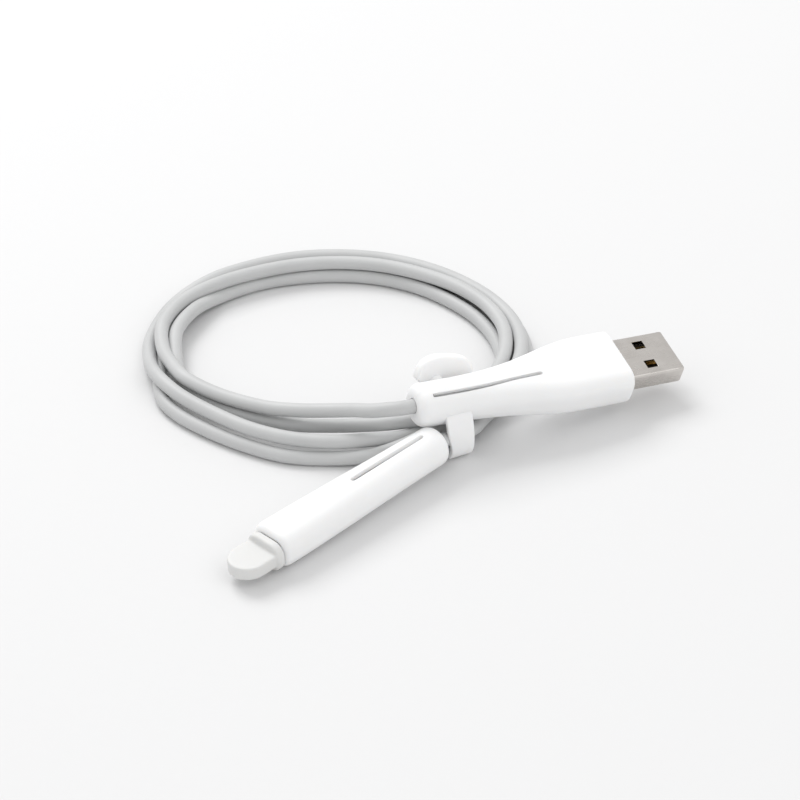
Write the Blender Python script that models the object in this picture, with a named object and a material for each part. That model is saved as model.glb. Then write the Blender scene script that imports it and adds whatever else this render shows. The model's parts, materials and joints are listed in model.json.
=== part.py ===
"""A charging cable: a type-A plug and a phone plug on one metre of round cable.

Each plug sits in a slit silicone sleeve. The type-A sleeve has a strap that buttons round the coil,
and the phone plug has a silicone cap that pulls off along its axis. Metres, +Z up, standing on z = 0.
"""

from math import cos, pi, radians, sin, sqrt

import bmesh
import bpy
from mathutils import Matrix, Vector

MM = 0.001
GAP = 0.3 * MM  # air between pieces that touch on the real object
FINE_GAP = 0.15 * MM  # the same inside a plug, where the pieces are thinner
SOFT_EDGE = 0.5 * MM  # rounding on the edges of the cap and the strap's tab

# Cable and coil
CABLE_D = 3.2 * MM
TURN_COLUMNS = 2
TURN_LAYERS = 2
COIL_CENTRE = (-28.1 * MM, 42.1 * MM)
COIL_RADII_MM = (40.3, 40.0, 39.3, 39.2, 40.0, 41.0, 40.6, 36.8, 33.8, 33.3, 37.8, 37.2)

# Where the two ends lie: the middle of each sleeve's cable end, and how its axis points from there
PLUG_PLACE = (-10.9 * MM, 5.9 * MM, 14.5 * MM)
PLUG_ROLL, PLUG_PITCH, PLUG_YAW = 15.0, 6.1, 27.2
PHONE_PLACE = (-5.6 * MM, 2.9 * MM, 6.5 * MM)
PHONE_ROLL, PHONE_PITCH, PHONE_YAW = 0.0, 2.0, 225.0

# Type-A plug
SHELL_WIDTH = 12.0 * MM
SHELL_HEIGHT = 4.5 * MM
SHELL_WALL = 0.3 * MM
SHELL_CORNER = 0.6 * MM
SHELL_SHOWN = 14.1 * MM
SHELL_ROOT = 6.4 * MM
LATCH_HOLE = (2.3 * MM, 2.7 * MM)
LATCH_HOLE_BACK = 7.2 * MM
LATCH_HOLE_SIDE = 2.95 * MM
TONGUE_THICK = 1.7 * MM
TONGUE_BACK = 0.9 * MM
CONTACT_COUNT = 4
CONTACT_PITCH = 2.3 * MM
CONTACT_SIZE = (1.0 * MM, 0.3 * MM)
CONTACT_BACK = 1.8 * MM  # from the plug's tip back to the contacts
CONTACT_TAIL = 1.2 * MM  # how far a solder tail runs on behind the plug
BLOCK_LENGTH = 4.2 * MM
PLUG_BODY = (14.0 * MM, 6.4 * MM, 15.4 * MM)
PLUG_BODY_CORNER = 2.2 * MM
PLUG_REAR_WALL = 1.2 * MM
PLUG_BOOT_LENGTH = 22.0 * MM
BOOT_TIP_D = 4.8 * MM
BOOT_ROOT_D = 6.4 * MM
CORE_D = 0.8 * MM
CORE_RING_R = 0.9 * MM
CRIMP_LENGTH = 3.0 * MM
CRIMP_WALL = 0.35 * MM

# Type-A sleeve
SLEEVE_WALL = 1.1 * MM
CHAMBER_RISE = 3.0 * MM  # the run from the cable's bore to the full chamber
SLOT_CUT_FLOOR = 1.2 * MM  # the slots are cut down to this height over the axis
SLOT_CUT_TOP = 10.0 * MM
SLOT_END_BLUNT = 0.35  # under 1 the slit keeps its width almost to its ends
SLEEVE_LENGTH = 50.9 * MM
SLEEVE_COLLAR_R = 4.9 * MM
SLEEVE_MOUTH = (17.0 * MM, 9.2 * MM)
SLEEVE_MOUTH_CORNER = 3.2 * MM
SLEEVE_SHOULDER = 37.0 * MM
COLLAR_LENGTH = 7.0 * MM
COLLAR_EDGE = 1.4 * MM
BORE_PLAY = 0.6 * MM
SLOT_START = 3.0 * MM
SLOT_LENGTH = 27.0 * MM
SLOT_WIDTH = 1.0 * MM
SLOT_SIDE = -1.7 * MM  # the slit lies a little towards the near side

# Strap on the type-A sleeve, which lies under the coil
STRAP_ALONG = 9.6 * MM
STRAP_WIDTH = 5.2 * MM
STRAP_THICK = 1.2 * MM
COIL_LIFT_NEAR = 18.0 * MM  # from the strap, where the coil starts to rise over it
COIL_LIFT_RUN = 11.0 * MM
STRAP_NEAR = 4.7 * MM
STRAP_FAR = 7.9 * MM
TAB_WIDTH = 14.2 * MM
TAB_THICK = 2.6 * MM
TAB_TOP = 19.4 * MM
TAB_SIDE = 1.4 * MM
TAB_START = 12.2 * MM
BUTTON_D = 3.0 * MM
TAB_ARCH = 0.72  # the arch's height as a share of the tab's half width
TAB_FOOT = 1.2 * MM  # how far the tab draws in at its foot
TAB_EDGE_SHARE = 0.19  # the rounded edge as a share of the tab's thickness
BUTTONHOLE_D = 4.4 * MM

# Phone plug
BLADE = (6.7 * MM, 1.5 * MM, 6.7 * MM)
BLADE_RIM = 0.55 * MM
BLADE_ROOT = 3.0 * MM
PAD_COUNT = 8
PAD_PITCH = 0.66 * MM
PAD_SIZE = (0.38 * MM, 0.16 * MM, 3.2 * MM)
PHONE_BODY = (8.0 * MM, 5.4 * MM, 15.0 * MM)
PHONE_BODY_CORNER = 2.0 * MM
PHONE_BODY_WALL = 0.4 * MM
PHONE_FRONT_WALL = 1.4 * MM
PHONE_REAR_WALL = 1.0 * MM
PHONE_BOOT_LENGTH = 20.0 * MM
PHONE_CRIMP_LENGTH = 2.2 * MM
BOARD = (5.4 * MM, 0.5 * MM, 5.0 * MM)
CHIP = (2.6 * MM, 0.6 * MM, 2.6 * MM)

# Phone sleeve and its cap
PHONE_SLEEVE_WALL = 1.0 * MM
PHONE_SLEEVE_LENGTH = 49.6 * MM
PHONE_COLLAR_R = 4.5 * MM
PHONE_MOUTH = (11.2 * MM, 8.6 * MM)
PHONE_MOUTH_CORNER = 3.5 * MM
PHONE_SLOT_START = 4.6 * MM
PHONE_SLOT_LENGTH = 21.4 * MM
PHONE_SLOT_WIDTH = 0.9 * MM
PHONE_SLOT_SIDE = 0.1 * MM
CAP_PLATE = (10.4 * MM, 7.9 * MM, 2.0 * MM)
CAP_PLATE_CORNER = 3.2 * MM
CAP_TONGUE = (8.8 * MM, 3.9 * MM, 8.3 * MM)
CAP_POCKET_PLAY = 0.35 * MM
CAP_TIP_TURN = 84  # degrees of the rounded tip that are drawn
CAP_TIP_FLAT = 0.55  # the tongue's height left at its tip, as a share


def material(name, colour, roughness, metallic=0.0):
    """A plain Principled finish, made once and shared by the pieces that have it."""
    made = bpy.data.materials.get(name)
    if made is None:
        made = bpy.data.materials.new(name)
        made.use_nodes = True
        shader = made.node_tree.nodes["Principled BSDF"]
        shader.inputs["Base Color"].default_value = (*colour, 1.0)
        shader.inputs["Roughness"].default_value = roughness
        shader.inputs["Metallic"].default_value = metallic
    return made


def silicone():
    return material("white_silicone", (0.90, 0.90, 0.90), 0.45)


def cap_silicone():
    return material("cap_silicone", (0.86, 0.86, 0.84), 0.5)


def jacket():
    return material("cable_jacket", (0.66, 0.67, 0.67), 0.5)


def housing_plastic():
    return material("housing_plastic", (0.88, 0.88, 0.88), 0.3)


def insulator():
    return material("insulator", (0.06, 0.05, 0.045), 0.5)


def nickel():
    return material("nickel_steel", (0.62, 0.59, 0.56), 0.28, 1.0)


def gold():
    return material("gold_contact", (0.83, 0.62, 0.25), 0.25, 1.0)


def board_resin():
    return material("board_resin", (0.05, 0.16, 0.09), 0.45)


def core_skin(index):
    shades = ((0.55, 0.04, 0.03), (0.80, 0.80, 0.78), (0.05, 0.32, 0.10), (0.03, 0.03, 0.03))
    return material(f"core_skin_{index}", shades[index - 1], 0.5)


def empty(name, place=(0.0, 0.0, 0.0), turn=(0.0, 0.0, 0.0), parent=None):
    """A frame that pieces hang on; turn is roll, pitch and yaw in degrees."""
    made = bpy.data.objects.new(name, None)
    bpy.context.scene.collection.objects.link(made)
    made.location = place
    made.rotation_euler = [radians(angle) for angle in turn]
    made.parent = parent
    return made


def piece(name, bm, finish, parent=None, smooth=35.0):
    """Closes a bmesh into a named object under its frame."""
    bmesh.ops.recalc_face_normals(bm, faces=bm.faces)
    mesh = bpy.data.meshes.new(name)
    bm.to_mesh(mesh)
    bm.free()
    mesh.materials.append(finish)
    mesh.shade_smooth()
    mesh.set_sharp_from_angle(angle=radians(smooth))
    made = bpy.data.objects.new(name, mesh)
    bpy.context.scene.collection.objects.link(made)
    made.parent = parent
    return made


def cut(target, cutter):
    """Takes a closed cutter out of a piece; the cutter stays in the file as a guide."""
    cutter.hide_render = True
    cutter.display_type = "WIRE"
    tool = target.modifiers.new(cutter.name, "BOOLEAN")
    tool.operation = "DIFFERENCE"
    tool.solver = "EXACT"
    tool.object = cutter


def rounded(half_width, half_height, corner, steps=5):
    """The points of a rounded rectangle, anticlockwise; a circle when the corner takes it all."""
    corner = min(corner, half_width, half_height)
    points = []
    for quarter, (side, up) in enumerate(((1, 1), (-1, 1), (-1, -1), (1, -1))):
        for step in range(steps):
            angle = (quarter + (step + 0.5) / steps) * pi / 2
            points.append(
                (
                    side * (half_width - corner) + corner * cos(angle),
                    up * (half_height - corner) + corner * sin(angle),
                )
            )
    return points


def ring_at(bm, x, outline):
    return [bm.verts.new((x, side, up)) for side, up in outline]


def skin(bm, rings, closed=False):
    """Joins each ring of points to the next one, and the last to the first when closed."""
    pairs = list(zip(rings, rings[1:]))
    if closed:
        pairs.append((rings[-1], rings[0]))
    for lower, upper in pairs:
        count = len(lower)
        for i in range(count):
            j = (i + 1) % count
            bm.faces.new((lower[i], lower[j], upper[j], upper[i]))


def loft(stations):
    """A closed solid through (x, outline) stations, flat at both ends."""
    bm = bmesh.new()
    rings = [ring_at(bm, x, outline) for x, outline in stations]
    skin(bm, rings)
    bm.faces.new(rings[0])
    bm.faces.new(rings[-1])
    return bm


def hollow_loft(outer, inner):
    """A tube through outer stations and back through inner ones, open at both ends."""
    bm = bmesh.new()
    rings = [ring_at(bm, x, outline) for x, outline in outer]
    rings += [ring_at(bm, x, outline) for x, outline in reversed(inner)]
    skin(bm, rings, closed=True)
    return bm


def block(x0, x1, width, height, corner=0.0, middle=(0.0, 0.0), edge=0.0):
    """A bar along X from x0 to x1 with rounded long edges and, with edge, bevelled ends."""
    if corner:
        outline = rounded(width / 2, height / 2, corner, 3)
    else:
        outline = [
            (width / 2, height / 2),
            (-width / 2, height / 2),
            (-width / 2, -height / 2),
            (width / 2, -height / 2),
        ]
    placed = [(side + middle[0], up + middle[1]) for side, up in outline]
    bm = loft([(x0, placed), (x1, placed)])
    if edge:
        ends = [e for e in bm.edges if abs(e.verts[0].co.x - e.verts[1].co.x) < 1e-9]
        bmesh.ops.bevel(bm, geom=ends, offset=edge, segments=1, affect="EDGES", profile=0.5)
    return bm


def wire(name, points, diameter, finish, resolution=2, parent=None):
    """A round wire with filled ends through the given points."""
    curve = bpy.data.curves.new(name, "CURVE")
    curve.dimensions = "3D"
    curve.bevel_depth = diameter / 2
    curve.bevel_resolution = resolution
    curve.use_fill_caps = True
    curve.materials.append(finish)
    spline = curve.splines.new("POLY")
    spline.points.add(len(points) - 1)
    for slot, point in zip(spline.points, points):
        slot.co = (*point, 1.0)
    made = bpy.data.objects.new(name, curve)
    bpy.context.scene.collection.objects.link(made)
    made.parent = parent
    return made


def smooth_path(points, spacing):
    """Points about spacing apart on the smooth curve through the hand-chosen ones."""
    ends = [2 * points[0] - points[1], *points, 2 * points[-1] - points[-2]]
    path = []
    for a, b, c, d in zip(ends, ends[1:], ends[2:], ends[3:]):
        steps = max(1, round((c - b).length / spacing))
        for step in range(steps):
            t = step / steps
            path.append(
                0.5
                * (
                    2 * b
                    + (c - a) * t
                    + (2 * a - 5 * b + 4 * c - d) * t**2
                    + (3 * b - a - 3 * c + d) * t**3
                )
            )
    path.append(points[-1])
    return path


def smooth_step(t):
    t = min(1.0, max(0.0, t))
    return t * t * (3 - 2 * t)


def sleeve_outline(x, shrink=0.0):
    """The type-A sleeve's outside at x, or its inside when shrunk by the wall."""
    t = smooth_step((x - COLLAR_LENGTH) / (SLEEVE_SHOULDER - COLLAR_LENGTH))
    half_width = SLEEVE_COLLAR_R + (SLEEVE_MOUTH[0] / 2 - SLEEVE_COLLAR_R) * t**1.6
    half_height = SLEEVE_COLLAR_R + (SLEEVE_MOUTH[1] / 2 - SLEEVE_COLLAR_R) * t
    corner = half_height + (SLEEVE_MOUTH_CORNER - half_height) * t
    return rounded(half_width - shrink, half_height - shrink, corner - shrink)


def phone_sleeve_outline(x, shrink=0.0):
    """The phone sleeve's outside at x, or its inside when shrunk by the wall."""
    t = smooth_step(x / PHONE_SLEEVE_LENGTH)
    half_width = PHONE_COLLAR_R + (PHONE_MOUTH[0] / 2 - PHONE_COLLAR_R) * t
    half_height = PHONE_COLLAR_R + (PHONE_MOUTH[1] / 2 - PHONE_COLLAR_R) * t
    corner = half_height + (PHONE_MOUTH_CORNER - half_height) * t
    return rounded(half_width - shrink, half_height - shrink, corner - shrink)


def collar_edge(radius, edge, steps=3):
    """The rounded edge of a sleeve's cable end, from its face outwards."""
    stations = []
    for step in range(steps):
        angle = step / steps * pi / 2
        r = radius - edge + edge * sin(angle)
        stations.append((edge * (1 - cos(angle)), rounded(r, r, r)))
    return stations


def sleeve(name, outline, length, radius, wall, throat, parent):
    """A silicone sleeve: a cable bore at its collar, then a chamber for the boot and the plug."""
    bore = CABLE_D / 2 + BORE_PLAY
    marks = [COLLAR_EDGE + (length - COLLAR_EDGE) * i / 12 for i in range(13)]
    outer = collar_edge(radius, COLLAR_EDGE) + [(x, outline(x)) for x in marks]
    chamber = throat + CHAMBER_RISE
    inner = [(0.0, rounded(bore, bore, bore)), (throat, rounded(bore, bore, bore))]
    inner += [(chamber + (length - chamber) * i / 9, None) for i in range(10)]
    inner = [(x, shape or outline(x, wall)) for x, shape in inner]
    return piece(name, hollow_loft(outer, inner), silicone(), parent)


def slot_cutter(name, start, length, width, side, parent):
    """A lens-shaped prism that opens the top of a sleeve."""
    steps = 10
    edge = []
    for i in range(2 * steps):
        t = i / steps if i <= steps else 2 - i / steps
        turn = 1 if i < steps else -1
        reach = width / 2 * max(0.0, sin(pi * t)) ** SLOT_END_BLUNT
        edge.append((start + length * t, side + turn * reach))
    bm = bmesh.new()
    low = [bm.verts.new((x, y, SLOT_CUT_FLOOR)) for x, y in edge]
    high = [bm.verts.new((x, y, SLOT_CUT_TOP)) for x, y in edge]
    skin(bm, [low, high])
    bm.faces.new(low)
    bm.faces.new(high)
    return piece(name, bm, silicone(), parent)


def round_tube(name, x0, x1, bore_d, d0, d1, finish, parent):
    """A turned tube along X with a straight bore, tapering outside from d0 to d1."""
    r = bore_d / 2
    outer = [(x0, rounded(d0 / 2, d0 / 2, d0 / 2)), (x1, rounded(d1 / 2, d1 / 2, d1 / 2))]
    inner = [(x0, rounded(r, r, r)), (x1, rounded(r, r, r))]
    return piece(name, hollow_loft(outer, inner), finish, parent)


def cores(prefix, x0, x1, pitch, height, parent):
    """Four insulated cores fanning from the cable's end to the solder tails."""
    for i, place in enumerate((0.5, -0.5, -1.5, 1.5)):
        angle = (i + 0.5) * pi / 2
        start = Vector((x0, CORE_RING_R * cos(angle), CORE_RING_R * sin(angle)))
        end = Vector((x1, place * pitch, height))
        bend = start + (end - start) * 0.45
        bend.y = start.y + (end.y - start.y) * 0.4
        wire(f"{prefix}_core_{i + 1}", [start, bend, end], CORE_D, core_skin(i + 1), 1, parent)


def type_a_plug(frame):
    """The metal plug, its moulded housing and boot, along the frame's X."""
    front = SLEEVE_LENGTH - GAP
    back = front - PLUG_BODY[2]
    tip = SLEEVE_LENGTH + SHELL_SHOWN
    root = SLEEVE_LENGTH - SHELL_ROOT

    outside = rounded(SHELL_WIDTH / 2, SHELL_HEIGHT / 2, SHELL_CORNER, 3)
    inside_corner = SHELL_CORNER - SHELL_WALL
    inside = rounded(
        SHELL_WIDTH / 2 - SHELL_WALL, SHELL_HEIGHT / 2 - SHELL_WALL, inside_corner, 3
    )
    shell_mesh = hollow_loft([(root, outside), (tip, outside)], [(root, inside), (tip, inside)])
    shell = piece("plug_shell", shell_mesh, nickel(), frame)
    x0 = tip - LATCH_HOLE_BACK - LATCH_HOLE[0] / 2
    for i, side in enumerate((-1, 1)):
        place = (side * LATCH_HOLE_SIDE, 0.0)
        punch = block(x0, x0 + LATCH_HOLE[0], LATCH_HOLE[1], 2 * SHELL_HEIGHT, middle=place)
        cut(shell, piece(f"latch_punch_{i + 1}", punch, nickel(), frame))

    tongue_low = -SHELL_HEIGHT / 2 + SHELL_WALL + FINE_GAP
    tongue_width = SHELL_WIDTH - 2 * SHELL_WALL - 2 * FINE_GAP - 2 * inside_corner
    middle = (0.0, tongue_low + TONGUE_THICK / 2)
    tongue = block(root, tip - TONGUE_BACK, tongue_width, TONGUE_THICK, middle=middle)
    piece("plug_tongue", tongue, insulator(), frame)

    contact_low = tongue_low + TONGUE_THICK + FINE_GAP
    contact_back = root - CONTACT_TAIL
    contact_up = contact_low + CONTACT_SIZE[1] / 2
    for i in range(CONTACT_COUNT):
        side = (i - (CONTACT_COUNT - 1) / 2) * CONTACT_PITCH
        strip = block(
            contact_back, tip - CONTACT_BACK, *CONTACT_SIZE, middle=(side, contact_up)
        )
        piece(f"plug_contact_{i + 1}", strip, gold(), frame)

    block_low = contact_low + CONTACT_SIZE[1] + FINE_GAP
    block_high = SHELL_HEIGHT / 2 - SHELL_WALL - FINE_GAP
    rear = block(
        root,
        root + BLOCK_LENGTH,
        tongue_width,
        block_high - block_low,
        middle=(0.0, (block_high + block_low) / 2),
    )
    piece("plug_rear_block", rear, insulator(), frame)

    width, height, _ = PLUG_BODY
    body = rounded(width / 2, height / 2, PLUG_BODY_CORNER)
    hole = rounded(SHELL_WIDTH / 2 + GAP, SHELL_HEIGHT / 2 + GAP, SHELL_CORNER + GAP)
    bore_r = CABLE_D / 2 + GAP
    bore = rounded(bore_r, bore_r, bore_r)
    wall_end = back + PLUG_REAR_WALL
    housing = hollow_loft(
        [(back, body), (front, body)],
        [(back, bore), (wall_end, bore), (wall_end, hole), (front, hole)],
    )
    piece("plug_housing", housing, housing_plastic(), frame)

    crimp_start = wall_end + GAP
    crimp_bore = CABLE_D + 2 * GAP
    crimp_d = crimp_bore + 2 * CRIMP_WALL
    round_tube(
        "plug_crimp",
        crimp_start,
        crimp_start + CRIMP_LENGTH,
        crimp_bore,
        crimp_d,
        crimp_d,
        nickel(),
        frame,
    )
    cable_end = crimp_start + CRIMP_LENGTH - GAP
    cores("plug", cable_end + GAP, contact_back - GAP, CONTACT_PITCH, contact_up, frame)

    boot_end = back - GAP
    round_tube(
        "plug_boot",
        boot_end - PLUG_BOOT_LENGTH,
        boot_end,
        CABLE_D + 2 * GAP,
        BOOT_TIP_D,
        BOOT_ROOT_D,
        housing_plastic(),
        frame,
    )
    return cable_end


def phone_plug(frame):
    """The eight-contact blade, its board, housing and boot, along the frame's X."""
    front = PHONE_SLEEVE_LENGTH - GAP
    back = front - PHONE_BODY[2]
    blade_width, blade_height, blade_shown = BLADE
    tip = front + blade_shown
    root = front - BLADE_ROOT

    blade = piece(
        "blade_frame",
        block(root, tip, blade_width, blade_height, blade_height / 2 - FINE_GAP / 2),
        nickel(),
        frame,
    )
    window_width = blade_width - 2 * BLADE_RIM
    window = block(root + BLADE_RIM, tip - BLADE_RIM, window_width, 2 * blade_height)
    cut(blade, piece("blade_window", window, nickel(), frame))

    pad_width, pad_thick, pad_length = PAD_SIZE
    insert_height = blade_height - 2 * (pad_thick + FINE_GAP)
    insert = block(
        root + BLADE_RIM + FINE_GAP,
        tip - BLADE_RIM - FINE_GAP,
        window_width - 2 * FINE_GAP,
        insert_height,
    )
    piece("blade_insert", insert, housing_plastic(), frame)
    pad_end = tip - 2 * BLADE_RIM
    for label, face in (("top", 1), ("under", -1)):
        up = face * (blade_height - pad_thick) / 2
        for i in range(PAD_COUNT):
            side = (i - (PAD_COUNT - 1) / 2) * PAD_PITCH
            pad = block(pad_end - pad_length, pad_end, pad_width, pad_thick, middle=(side, up))
            piece(f"blade_pad_{label}_{i + 1}", pad, gold(), frame)

    board_end = root - GAP
    board_start = board_end - BOARD[2]
    piece("board", block(board_start, board_end, BOARD[0], BOARD[1]), board_resin(), frame)
    chip_up = BOARD[1] / 2 + FINE_GAP + CHIP[1] / 2
    chip_start = (board_start + board_end - CHIP[2]) / 2
    chip = block(chip_start, chip_start + CHIP[2], CHIP[0], CHIP[1], middle=(0.0, chip_up))
    piece("chip", chip, insulator(), frame)

    width, height, _ = PHONE_BODY
    body = rounded(width / 2, height / 2, PHONE_BODY_CORNER)
    mouth = rounded(blade_width / 2 + GAP, blade_height / 2 + GAP, blade_height / 2)
    room_height = height / 2 - PHONE_BODY_WALL
    room = rounded(blade_width / 2 + GAP, room_height, room_height / 2)
    bore_r = CABLE_D / 2 + GAP
    bore = rounded(bore_r, bore_r, bore_r)
    wall_end = back + PHONE_REAR_WALL
    wall_start = front - PHONE_FRONT_WALL
    housing = hollow_loft(
        [(back, body), (front, body)],
        [
            (back, bore),
            (wall_end, bore),
            (wall_end, room),
            (wall_start, room),
            (wall_start, mouth),
            (front, mouth),
        ],
    )
    piece("phone_housing", housing, housing_plastic(), frame)

    crimp_start = wall_end + GAP
    crimp_bore = CABLE_D + FINE_GAP * 2
    crimp_wall = room_height - FINE_GAP - crimp_bore / 2
    crimp_d = crimp_bore + 2 * min(CRIMP_WALL, crimp_wall)
    round_tube(
        "phone_crimp",
        crimp_start,
        crimp_start + PHONE_CRIMP_LENGTH,
        crimp_bore,
        crimp_d,
        crimp_d,
        nickel(),
        frame,
    )
    cable_end = crimp_start + PHONE_CRIMP_LENGTH - GAP
    cores("phone", cable_end + GAP, board_start - GAP, BOARD[0] / CONTACT_COUNT, 0.0, frame)

    boot_end = back - GAP
    round_tube(
        "phone_boot",
        boot_end - PHONE_BOOT_LENGTH,
        boot_end,
        CABLE_D + 2 * GAP,
        BOOT_TIP_D,
        PHONE_BODY[1],
        housing_plastic(),
        frame,
    )
    return cable_end


def phone_cap(frame):
    """The cap: a plate on the sleeve's mouth and a tongue to pull, with a pocket for the blade."""
    plate_width, plate_height, plate_thick = CAP_PLATE
    tongue_width, tongue_height, tongue_length = CAP_TONGUE
    x0 = GAP
    step = x0 + plate_thick
    tip = step + tongue_length
    half = tongue_width / 2
    up = tongue_height / 2
    pocket_up = BLADE[1] / 2 + CAP_POCKET_PLAY
    pocket = rounded(BLADE[0] / 2 + CAP_POCKET_PLAY, pocket_up, pocket_up)
    plate = rounded(plate_width / 2, plate_height / 2, CAP_PLATE_CORNER)
    soft = SOFT_EDGE
    plate_edge = rounded(
        plate_width / 2 - soft, plate_height / 2 - soft, CAP_PLATE_CORNER - soft
    )
    stations = [
        (BLADE[2] + CAP_POCKET_PLAY, pocket),
        (x0, pocket),
        (x0, plate_edge),
        (x0 + soft, plate),
        (step - soft, plate),
        (step, plate_edge),
        (step, rounded(half, up, up)),
    ]
    for i in range(7):
        angle = i / 6 * radians(CAP_TIP_TURN)
        flat = CAP_TIP_FLAT + (1 - CAP_TIP_FLAT) * cos(angle)
        shape = rounded(half * cos(angle), up * flat, up)
        stations.append((tip - half + half * sin(angle), shape))
    return piece("phone_cap", loft(stations), cap_silicone(), frame)


def extruded(profile, x0, x1):
    """A (y, z) outline drawn out along X."""
    bm = bmesh.new()
    rings = [[bm.verts.new((x, y, z)) for y, z in profile] for x in (x0, x1)]
    skin(bm, rings)
    bm.faces.new(rings[0])
    bm.faces.new(rings[1])
    return bm


def strap_band(frame, axis_height):
    """The fixed half of the strap: down the near side and along under the coil."""
    near = -STRAP_NEAR
    bend = STRAP_THICK
    top_inner = axis_height - sqrt(SLEEVE_COLLAR_R**2 - STRAP_NEAR**2) - 2 * GAP
    profile = [(STRAP_FAR - GAP, 0.0), (STRAP_FAR - GAP, STRAP_THICK), (near, STRAP_THICK)]
    profile += [(near, top_inner), (near - STRAP_THICK, top_inner)]
    for step in range(4):
        angle = pi + step / 3 * pi / 2
        profile.append((near - STRAP_THICK + bend + bend * cos(angle), bend + bend * sin(angle)))
    band = extruded(profile, -STRAP_WIDTH / 2, STRAP_WIDTH / 2)
    piece("strap_band", band, silicone(), frame)


def strap_flap(hinge, axis_height):
    """The moving half: up the far side to a thick D-shaped tab with a buttonhole."""
    half = STRAP_THICK / 2
    profile = [(half, TAB_START + half)]
    profile.append((-half, TAB_START + half))
    for step in range(7):
        angle = pi + step / 6 * pi
        profile.append((half * cos(angle), half * sin(angle)))
    strip = extruded(profile, -STRAP_WIDTH / 2, STRAP_WIDTH / 2)
    flap = piece("strap_flap", strip, silicone(), hinge)

    low = TAB_START - half
    high = TAB_TOP - half
    wide = TAB_WIDTH / 2
    bm = bmesh.new()
    edge = []
    for step in range(17):
        angle = step / 16 * pi
        edge.append((wide * cos(angle), high - wide * TAB_ARCH * (1 - sin(angle))))
    edge += [(-wide + TAB_FOOT, low), (wide - TAB_FOOT, low)]
    rings = []
    middle = (low + high) / 2
    side = 0.5 - TAB_EDGE_SHARE
    for y, inset in ((-0.5, SOFT_EDGE), (-side, 0.0), (side, 0.0), (0.5, SOFT_EDGE)):
        scale = 1 - inset / wide
        rings.append(
            [
                bm.verts.new((TAB_SIDE + x * scale, y * TAB_THICK, middle + (z - middle) * scale))
                for x, z in edge
            ]
        )
    skin(bm, rings)
    bm.faces.new(rings[0])
    bm.faces.new(rings[-1])
    tab = piece("tab_block", bm, silicone(), hinge)
    tab.hide_render = True
    tab.display_type = "WIRE"
    union = flap.modifiers.new("tab", "BOOLEAN")
    union.operation = "UNION"
    union.solver = "EXACT"
    union.object = tab

    hole_up = axis_height - half
    cut(flap, cylinder_y("buttonhole", BUTTONHOLE_D, -TAB_THICK, TAB_THICK, hole_up, hinge))


def cylinder_y(name, diameter, y0, y1, height, parent):
    """A round bar along Y."""
    bm = bmesh.new()
    r = diameter / 2
    count = 20
    rings = []
    for y in (y0, y1):
        ring = []
        for i in range(count):
            angle = 2 * pi * i / count
            ring.append(bm.verts.new((r * cos(angle), y, height + r * sin(angle))))
        rings.append(ring)
    skin(bm, rings)
    bm.faces.new(rings[0])
    bm.faces.new(rings[1])
    return piece(name, bm, silicone(), parent)


def coil_radius(angle):
    """The coil's radius at an angle, smooth through the twelve named ones."""
    count = len(COIL_RADII_MM)
    spot = (angle / (2 * pi)) % 1.0 * count
    i = int(spot)
    t = spot - i
    a, b, c, d = (COIL_RADII_MM[(i + k) % count] for k in (-1, 0, 1, 2))
    value = 2 * b + (c - a) * t + (2 * a - 5 * b + 4 * c - d) * t**2
    return 0.5 * (value + (3 * b - a - 3 * c + d) * t**3) * MM


def coil_point(angle):
    r = coil_radius(angle)
    return Vector((COIL_CENTRE[0] + r * cos(angle), COIL_CENTRE[1] + r * sin(angle), 0.0))


def cable_coil(strap_place):
    """The coiled bundle as one closed ring, lifted a strap's thickness where the strap passes."""
    width = TURN_COLUMNS * CABLE_D
    height = TURN_LAYERS * CABLE_D
    outline = rounded(width / 2, height / 2, CABLE_D / 2, 3)
    count = 84
    bm = bmesh.new()
    rings = []
    for i in range(count):
        angle = 2 * pi * i / count
        here = coil_point(angle)
        ahead = (coil_point(angle + 0.01) - coil_point(angle - 0.01)).normalized()
        outward = ahead.cross(Vector((0.0, 0.0, 1.0)))
        away = (here - strap_place).xy.length
        near = smooth_step((COIL_LIFT_NEAR - away) / COIL_LIFT_RUN)
        lift = (STRAP_THICK + GAP) * near
        rings.append(
            [
                bm.verts.new(here + outward * side + Vector((0.0, 0.0, lift + height / 2 + up)))
                for side, up in outline
            ]
        )
    skin(bm, rings, closed=True)
    piece("cable_coil", bm, jacket())


# The free stretches of cable beyond each sleeve, in millimetres
PLUG_LEAD_MM = (
    (-13.4, 5.1, 14.6),
    (-16.4, 5.2, 14.1),
    (-19.8, 6.5, 12.7),
    (-23.6, 8.6, 10.7),
    (-27.6, 10.3, 9.1),
    (-31.6, 10.8, 8.4),
    (-35.6, 10.5, 8.3),
)
PHONE_LEAD_MM = (
    (-4.4, 4.5, 6.3),
    (-3.3, 6.5, 5.7),
    (-0.9, 8.3, 4.9),
    (1.4, 10.5, 4.4),
    (3.6, 13.2, 4.0),
)


def lead(name, frame, cable_end, free_mm):
    """One free stretch: straight inside its plug and sleeve, then through the named points."""
    inside = [frame @ Vector((cable_end * (1 - t), 0.0, 0.0)) for t in (0.0, 0.25, 0.5, 0.75, 1.0)]
    free = [Vector(point) * MM for point in free_mm]
    path = smooth_path(inside + free, 2.5 * CABLE_D)
    wire(name, path, CABLE_D, jacket())


def frame_matrix(place, turn):
    roll, pitch, yaw = (radians(angle) for angle in turn)
    turned = Matrix.Rotation(yaw, 4, "Z") @ Matrix.Rotation(pitch, 4, "Y")
    return Matrix.Translation(place) @ turned @ Matrix.Rotation(roll, 4, "X")


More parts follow.
